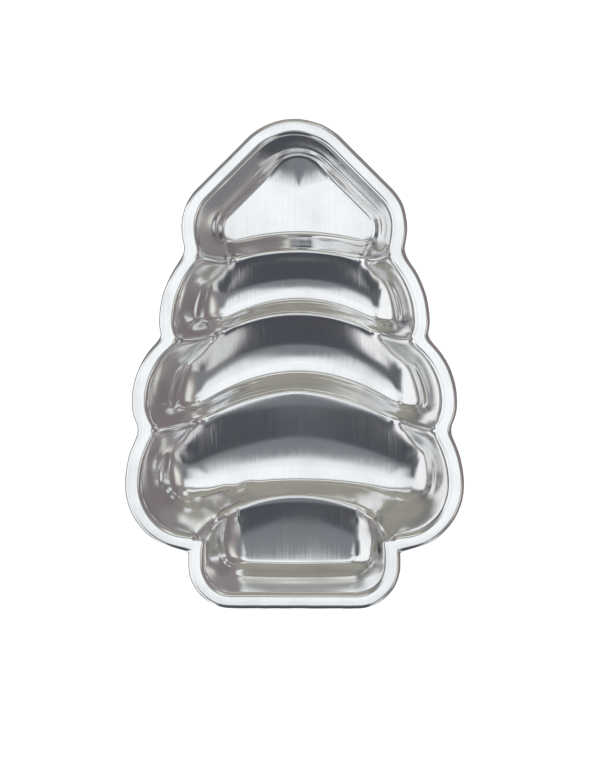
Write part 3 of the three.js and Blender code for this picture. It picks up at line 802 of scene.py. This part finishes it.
put(tree, "NodeGroupOutput", [("Sheet", sheet)])
print("drawn_sheet tree:", len(tree.nodes), "nodes")

# %% [markdown]
# The metal is bright rolled aluminium. The rolls leave fine lines along the sheet, seen as streaks in
# every reflection, and kitchen use adds dull smudges and thin scratches. These effects are node groups that
# give masks and heights only, so another metal part could carry them with its own values.

# %% Rolled grain: fine lines along Y
def shader_group(name, *results):
    sockets = [("Vector", "INPUT", "NodeSocketVector", None)]
    sockets += [(result, "OUTPUT", "NodeSocketFloat", None) for result in results]
    made = new_tree(name, "ShaderNodeTree", sockets)
    return made, put(made, "NodeGroupInput").outputs["Vector"], put(made, "NodeGroupOutput").inputs


def stretched_noise(tree, vector, size, turn=0.0, detail=2.0, offset=(0, 0, 0)):
    spot = put(tree, "ShaderNodeMapping", [
        ("Vector", vector), ("Rotation", (0, 0, turn)), ("Location", offset),
        ("Scale", tuple(1.0 / v for v in size))]).outputs[0]
    noise = put(tree, "ShaderNodeTexNoise", [("Vector", spot), ("Scale", 1.0), ("Detail", detail)])
    return noise.outputs["Fac"]


def between(tree, value, low, high):
    limits = [("Value", value), ("From Min", low), ("From Max", high)]
    return put(tree, "ShaderNodeMapRange", limits).outputs[0]


FINE_LINES, BROAD_LINES = (0.0008, 0.05, 0.01), (0.004, 0.1, 0.03)  # width, length and depth in metres
grain, spot, results = shader_group("rolled_grain", "Height", "Streaks")
fine = stretched_noise(grain, spot, FINE_LINES, detail=3.0)
broad = stretched_noise(grain, spot, BROAD_LINES, detail=1.0)
height = calc(grain, "ADD", calc(grain, "MULTIPLY", fine, 0.6), calc(grain, "MULTIPLY", broad, 0.4))
grain.links.new(height, results["Height"])
grain.links.new(between(grain, fine, 0.35, 0.68), results["Streaks"])
print("rolled_grain:", len(grain.nodes), "nodes")

# %% [markdown]
# Scratches are the crests of the same stretched noise in three directions. Drawn one by one, they would
# look set out.

# %% Handling marks: dull smudges and thin scratches
SMUDGES_PER_METRE, SCRATCH = 38.0, (0.0007, 0.022, 0.02)
SCRATCH_SETS = ((0.2, (0.2, 0.1, 0)), (0.6, (0.7, 0.3, 0)), (-0.4, (0.4, 0.9, 0)))  # turn and offset
marks, spot, results = shader_group("handling_marks", "Smudges", "Scratches")
cloud = put(marks, "ShaderNodeTexNoise", [("Vector", spot), ("Scale", SMUDGES_PER_METRE), ("Detail", 4.0)])
marks.links.new(between(marks, cloud.outputs["Fac"], 0.42, 0.72), results["Smudges"])
lines = []
for turn, offset in SCRATCH_SETS:
    lines.append(between(marks, stretched_noise(marks, spot, SCRATCH, turn, 0.0, offset), 0.78, 0.84))
thin = calc(marks, "MAXIMUM", calc(marks, "MAXIMUM", lines[0], lines[1]), lines[2])
marks.links.new(thin, results["Scratches"])
print("handling_marks:", len(marks.nodes), "nodes")

# %% [markdown]
# The finish puts the groups together: streaks and smudges change the roughness and, a little, the tint, the
# rubbed crests and rim are smoother, and grain and scratches press a very shallow relief.

# %% Bright rolled aluminium
ROUGH, STREAK_ROUGH, SMUDGE_ROUGH, RUBBED_SMOOTH = 0.095, 0.05, 0.06, 0.05
SMUDGE_DULL, STREAK_DULL, SCRATCH_DEPTH = 0.35, 0.06, 0.3
CLEAN, DULL = (0.95, 0.955, 0.96, 1), (0.68, 0.68, 0.675, 1)
RELIEF_STRENGTH, RELIEF_DEPTH = 0.32, 0.00006


def bright_aluminium():
    made = bpy.data.materials.new("bright_rolled_aluminium")
    made.use_nodes = True
    nodes = made.node_tree
    nodes.nodes.clear()
    spot = put(nodes, "ShaderNodeTexCoord").outputs["Object"]
    rolled = put(nodes, "ShaderNodeGroup", [("Vector", spot)], node_tree=grain).outputs
    used = put(nodes, "ShaderNodeGroup", [("Vector", spot)], node_tree=marks).outputs
    rubbed = put(nodes, "ShaderNodeAttribute", attribute_name="worn").outputs["Fac"]
    rough = calc(nodes, "MULTIPLY_ADD", rolled["Streaks"], STREAK_ROUGH)
    rough.node.inputs[2].default_value = ROUGH
    rough = calc(nodes, "ADD", rough, calc(nodes, "MULTIPLY", used["Smudges"], SMUDGE_ROUGH))
    rough = calc(nodes, "SUBTRACT", rough, calc(nodes, "MULTIPLY", rubbed, RUBBED_SMOOTH), clamp=True)
    dull = calc(nodes, "MULTIPLY", used["Smudges"], SMUDGE_DULL)
    dull = calc(nodes, "ADD", dull, calc(nodes, "MULTIPLY", rolled["Streaks"], STREAK_DULL), clamp=True)
    tint = put(nodes, "ShaderNodeMix", [(0, dull)], data_type="RGBA")
    tint.inputs[6].default_value, tint.inputs[7].default_value = CLEAN, DULL
    pressed = calc(nodes, "MULTIPLY", used["Scratches"], SCRATCH_DEPTH)
    bump = put(nodes, "ShaderNodeBump", [
        ("Height", calc(nodes, "SUBTRACT", rolled["Height"], pressed)),
        ("Strength", RELIEF_STRENGTH), ("Distance", RELIEF_DEPTH)]).outputs[0]
    metal = put(nodes, "ShaderNodeBsdfPrincipled", [
        ("Base Color", tint.outputs[2]), ("Roughness", rough), ("Metallic", 1.0), ("Normal", bump)])
    put(nodes, "ShaderNodeOutputMaterial", [("Surface", metal.outputs[0])])
    return made


aluminium = bright_aluminium()
print("finish:", aluminium.name, len(aluminium.node_tree.nodes), "nodes")

# %% [markdown]
# The tree is run once and its result is kept as a plain mesh, so nothing is left to be worked out again when
# the part is used elsewhere.

# %% Run the tree and keep the result as a plain mesh
modifier = upper.modifiers.new("drawn_sheet", "NODES")
modifier.node_group = tree
settings = {"Sheet thickness": SHEET * MM, "Lip wave depth": 0.00035, "Finish": aluminium}
for item in tree.interface.items_tree:
    if item.item_type == "SOCKET" and item.in_out == "INPUT" and item.name in settings:
        modifier[item.identifier] = settings[item.name]
evaluated = upper.evaluated_get(bpy.context.evaluated_depsgraph_get())
plain = bpy.data.meshes.new_from_object(evaluated)
upper.modifiers.clear()
bpy.data.objects.remove(upper)
plain.name = "pan_sheet"
pan = bpy.data.objects.new("pan_sheet", plain)
bpy.context.scene.collection.objects.link(pan)
triangles = sum(len(p.vertices) - 2 for p in plain.polygons)
print("pan sheet:", len(plain.vertices), "vertices,", triangles, "triangles")

# %% [markdown]
# The sheet stands for all six solids of the CAD model, which part the one real sheet along its shoulder
# and its ridges. It moves with the only body there is.

# %% Tie the sheet to the frame
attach(pan, "root")
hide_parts("rim", "tip_pocket", "upper_tier_pocket", "middle_tier_pocket", "lower_tier_pocket",
            "trunk_pocket")
print("replaced six solids by", pan.name)

# %% [markdown]
# The floor is a plain pale sheet just below the pan. It glows a little, so it stays white round the rim as
# in a product picture.

# %% Floor
FLOOR_HALF, FLOOR_Z = 4.0, -0.0004
floor_mesh = bpy.data.meshes.new("floor")
ground = [(x * FLOOR_HALF, y * FLOOR_HALF, FLOOR_Z) for x, y in ((-1, -1), (1, -1), (1, 1), (-1, 1))]
floor_mesh.from_pydata(ground, [], [(0, 1, 2, 3)])
floor = bpy.data.objects.new("floor", floor_mesh)
bpy.context.scene.collection.objects.link(floor)
pale = bpy.data.materials.new("pale_floor")
pale.use_nodes = True
shade = pale.node_tree.nodes["Principled BSDF"].inputs
shade["Base Color"].default_value, shade["Roughness"].default_value = (0.9, 0.9, 0.9, 1), 0.9
shade["Emission Color"].default_value, shade["Emission Strength"].default_value = (1, 1, 1, 1), 0.8
floor_mesh.materials.append(pale)
print("floor width in m:", 2 * FLOOR_HALF)

# %% [markdown]
# Bright metal shows its surroundings more than itself, so the studio decides the picture. It is painted on
# the world by direction: a white ceiling, a window on the left, a dark side in front of the pan's foot,
# small lights on the right and behind, and quiet olive and mauve elsewhere. Lamps would leave small hard
# glints, and the photo shows broad soft shapes.

# %% Helpers for the surroundings
world = bpy.data.worlds.new("studio")
bpy.context.scene.world = world
world.use_nodes = True
sky = world.node_tree
sky.nodes.clear()
way = put(sky, "ShaderNodeSeparateXYZ", [(0, put(sky, "ShaderNodeTexCoord").outputs["Generated"])]).outputs
X, Y, Z, WEDGE = range(4)
CAMERA_LEAN, WEDGE_SLOPE = 0.06, 1.8  # about the sine of the camera's tilt, and how the wedge widens
off_axis = calc(sky, "ABSOLUTE", calc(sky, "ADD", way[X], CAMERA_LEAN))
wedge = calc(sky, "MULTIPLY_ADD", off_axis, WEDGE_SLOPE)
sky.links.new(way[Y], wedge.node.inputs[2])
axes = [way[X], way[Y], way[Z], wedge]


def edge_mask(axis, start, end):
    return put(sky, "ShaderNodeMapRange", [("Value", axes[axis]), ("From Min", start), ("From Max", end)],
               interpolation_type="SMOOTHSTEP").outputs[0]


def patch(edges):
    mask = edge_mask(*edges[0])
    for edge in edges[1:]:
        mask = calc(sky, "MULTIPLY", mask, edge_mask(*edge))
    return mask


def over(base, colour, mask):
    mixed = put(sky, "ShaderNodeMix", [(0, mask)], data_type="RGBA")
    if isinstance(base, bpy.types.NodeSocket):
        sky.links.new(base, mixed.inputs[6])
    else:
        mixed.inputs[6].default_value = (*base, 1)
    mixed.inputs[7].default_value = (*colour, 1)
    return mixed.outputs[2]


print("directions ready:", len(axes))

# %% [markdown]
# Each line paints one patch over those before it: a colour, and the edges that bound it. An edge is an axis
# and two values of it. The patch is absent at the first and full at the second. X points to the right of the
# picture, Y to its top and Z to the camera.

# %% Studio surroundings
GREY = (0.2, 0.2, 0.19)
STUDIO = [
    ("olive wall behind", (0.345, 0.332, 0.28), [(Y, 0.5, 0.75)]),
    ("mauve wall on the right", (0.28, 0.25, 0.25), [(X, 0.1, 0.45)]),
    ("its darker far side", (0.22, 0.19, 0.195), [(X, 0.5, 0.62)]),
    ("pale wall on the left", (0.88, 0.85, 0.86), [(X, -0.5, -0.68), (Y, 0.42, 0.3)]),
    ("window on the left", (0.95, 0.96, 0.97), [(X, -0.28, -0.44), (Y, 0.45, 0.2)]),
    ("dark foot of the left wall", (0.06, 0.06, 0.065), [(X, -0.4, -0.7), (Z, 0.36, 0.2)]),
    ("ceiling", (0.85, 0.88, 0.9),
     [(Y, -0.56, -0.46), (Y, 0.22, 0.1), (Z, 0.5, 0.7), (X, 0.38, 0.2), (X, -0.5, -0.4)]),
    ("grey wedge in the ceiling", (0.19, 0.2, 0.22), [(WEDGE, -0.12, -0.28), (Z, 0.5, 0.7)]),
    ("dark front", (0.07, 0.074, 0.088),
     [(Y, -0.57, -0.63), (X, -0.42, -0.33), (X, 0.28, 0.2), (Z, 0.0, 0.1)]),
    ("light that the ridges' feet show", (0.9, 0.91, 0.88),
     [(Y, 0.31, 0.38), (Y, 0.58, 0.48), (X, -0.3, -0.2), (X, 0.2, 0.1)]),
    ("light behind on the right", (0.92, 0.93, 0.91),
     [(X, 0.07, 0.16), (X, 0.36, 0.26), (Y, 0.48, 0.56), (Y, 0.76, 0.68)]),
    ("dark corner on the left", (0.1, 0.105, 0.12),
     [(X, -0.2, -0.3), (X, -0.54, -0.45), (Y, -0.12, -0.3), (Y, -0.7, -0.6)]),
    ("dark corner on the right", (0.2, 0.205, 0.22),
     [(X, 0.08, 0.18), (X, 0.42, 0.32), (Y, -0.1, -0.25), (Y, -0.62, -0.54)]),
    ("grey light in front on the right", (0.62, 0.63, 0.63),
     [(X, 0.21, 0.3), (X, 0.56, 0.46), (Y, -0.56, -0.64), (Z, 0.1, 0.25)]),
    ("cream light on the right", (0.86, 0.86, 0.8),
     [(X, 0.4, 0.55), (X, 0.74, 0.6), (Y, 0.12, -0.1), (Y, -0.5, -0.3), (Z, 0.1, 0.25)]),
]
tone = GREY
for name, colour, edges in STUDIO:
    tone = over(tone, colour, patch(edges))
backdrop = put(sky, "ShaderNodeBackground", [("Color", tone), ("Strength", 1.0)]).outputs[0]
put(sky, "ShaderNodeOutputWorld", [("Surface", backdrop)])
print("studio:", [name for name, colour, edges in STUDIO])

# %% [markdown]
# A broad, weak lamp hangs above. The surroundings give nearly all of the light.

# %% Broad light above
lamp_data = bpy.data.lights.new("overhead", "AREA")
lamp_data.shape = "RECTANGLE"
lamp_data.size, lamp_data.size_y = 1.2, 1.2
lamp_data.energy = 0.5
lamp = bpy.data.objects.new("overhead", lamp_data)
lamp.location = (0.0, 0.36, 3.0)
bpy.context.scene.collection.objects.link(lamp)
print("lamp power:", lamp_data.energy)

# %% [markdown]
# The camera hangs almost straight above the pan, far away with a long lens, a few degrees to the right, so
# the rim hides a little of the right wall and shows more of the left one.

# %% Camera
PIXEL, PHOTO_HEIGHT = 0.00051, 776  # metres per pixel at the rim, and the photo's height in pixels
SENSOR, DISTANCE, TILT = 36.0, 3.0, math.radians(3.5)
AIM_X, AIM_Y = 6, -24.4  # the picture's middle, in pixels from the pan's
camera_data = bpy.data.cameras.new("camera")
camera_data.sensor_width = SENSOR
camera_data.lens = SENSOR * DISTANCE / (PHOTO_HEIGHT * PIXEL)
camera = bpy.data.objects.new("camera", camera_data)
bpy.context.scene.collection.objects.link(camera)
bpy.context.scene.camera = camera
rim_point = Vector((AIM_X * PIXEL, AIM_Y * PIXEL, HEIGHT * MM))
camera.location = rim_point + Vector((math.sin(TILT), 0.0, math.cos(TILT))) * DISTANCE
camera.rotation_euler = (0.0, TILT, 0.0)
bpy.context.scene.view_settings.view_transform = "Standard"
print("lens:", round(camera_data.lens), "mm")
